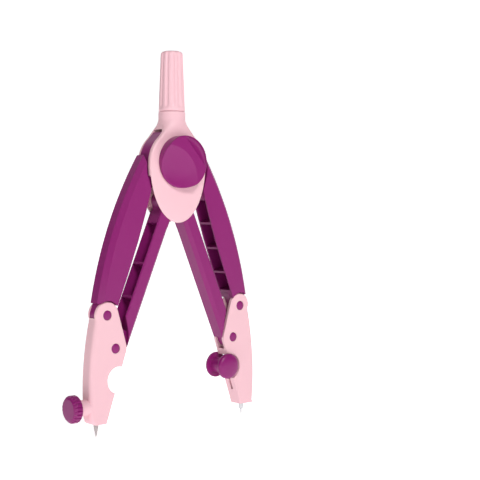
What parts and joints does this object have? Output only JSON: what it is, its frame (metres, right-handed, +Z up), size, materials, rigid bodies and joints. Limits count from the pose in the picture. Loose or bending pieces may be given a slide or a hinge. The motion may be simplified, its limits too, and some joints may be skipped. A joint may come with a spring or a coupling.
{
  "type": "drawing compass",
  "caption": "Drawing compass with parallel arms, upright feet, a locking knob, a side-clamped lead and a needle with a sliding point guard.",
  "frame": {"origin": "the needle's point, which stands on the paper", "axes": "+Z up, along the grip; +X from the lead leg to the needle leg; -Y is the side with the lock knob"},
  "size_m": [0.091, 0.0152, 0.151],
  "materials": {
    "pink_plastic": "satin moulded pale pink",
    "purple_plastic": "satin moulded magenta purple",
    "steel": "turned and polished",
    "brass": "turned",
    "graphite": "sharpened graphite lead"
  },
  "bodies": {
    "head": {"head_yoke": "pink_plastic", "grip": "pink_plastic", "head_pivot_pins": "steel", "clamp_nut": "steel"},
    "lock_knob": {"lock_knob": "purple_plastic", "clamp_screw": "steel", "knob_washer": "steel"},
    "outer_arm_left": {"outer_arm_left": "purple_plastic"},
    "outer_arm_right": {"outer_arm_right": "purple_plastic"},
    "inner_arm_left": {"inner_arm_left": "purple_plastic"},
    "inner_arm_right": {"inner_arm_right": "purple_plastic"},
    "lead_foot": {"lead_foot": "pink_plastic", "lead_foot_rivets": "purple_plastic", "lead": "graphite", "clamp_insert": "brass"},
    "lead_clamp": {"lead_clamp_knob": "purple_plastic", "lead_clamp_stud": "steel"},
    "needle_foot": {"needle_foot": "pink_plastic", "needle_foot_rivets": "purple_plastic", "needle": "steel"},
    "needle_guard": {"guard_sleeve": "steel", "guard_front_button": "purple_plastic", "guard_rear_button": "purple_plastic"}
  },
  "joints": [
    {"name": "fold", "type": "hinge", "parent": "head", "child": "outer_arm_right", "pos_m": [-0.0278, 0, 0.10432], "axis": [0, -1, 0], "range_deg": [-23, 22]},
    {"name": "fold_outer_left", "type": "hinge", "parent": "head", "child": "outer_arm_left", "pos_m": [-0.046, 0, 0.10432], "axis": [0, 1, 0], "range_deg": [-23, 22]},
    {"name": "fold_inner_right", "type": "hinge", "parent": "head", "child": "inner_arm_right", "pos_m": [-0.0316, 0, 0.09132], "axis": [0, -1, 0], "range_deg": [-23, 22]},
    {"name": "fold_inner_left", "type": "hinge", "parent": "head", "child": "inner_arm_left", "pos_m": [-0.0422, 0, 0.09132], "axis": [0, 1, 0], "range_deg": [-23, 22]},
    {"name": "needle_foot_pivot", "type": "hinge", "parent": "outer_arm_right", "child": "needle_foot", "pos_m": [-0.0033, 0, 0.04715], "axis": [0, 1, 0], "range_deg": [-23, 22]},
    {"name": "lead_foot_pivot", "type": "hinge", "parent": "outer_arm_left", "child": "lead_foot", "pos_m": [-0.07051, 0, 0.04715], "axis": [0, -1, 0], "range_deg": [-23, 22]},
    {"name": "lock_knob_turn", "type": "hinge", "parent": "head", "child": "lock_knob", "pos_m": [-0.0369, -0.0051, 0.10652], "axis": [0, -1, 0], "range_deg": [0, 180]},
    {"name": "lead_clamp_turn", "type": "hinge", "parent": "lead_foot", "child": "lead_clamp", "pos_m": [-0.08241, 0, 0.0123], "axis": [-1, 0, 0], "range_deg": [0, 360]},
    {"name": "guard_slide", "type": "slide", "parent": "needle_foot", "child": "needle_guard", "axis": [0, 0, -1], "range_m": [0, 0.0066]}
  ],
  "couplings": [
    {"joint": "fold_outer_left", "follows": "fold", "ratio": 1},
    {"joint": "fold_inner_right", "follows": "fold", "ratio": 1},
    {"joint": "fold_inner_left", "follows": "fold", "ratio": 1},
    {"joint": "needle_foot_pivot", "follows": "fold", "ratio": 1},
    {"joint": "lead_foot_pivot", "follows": "fold", "ratio": 1}
  ]
}
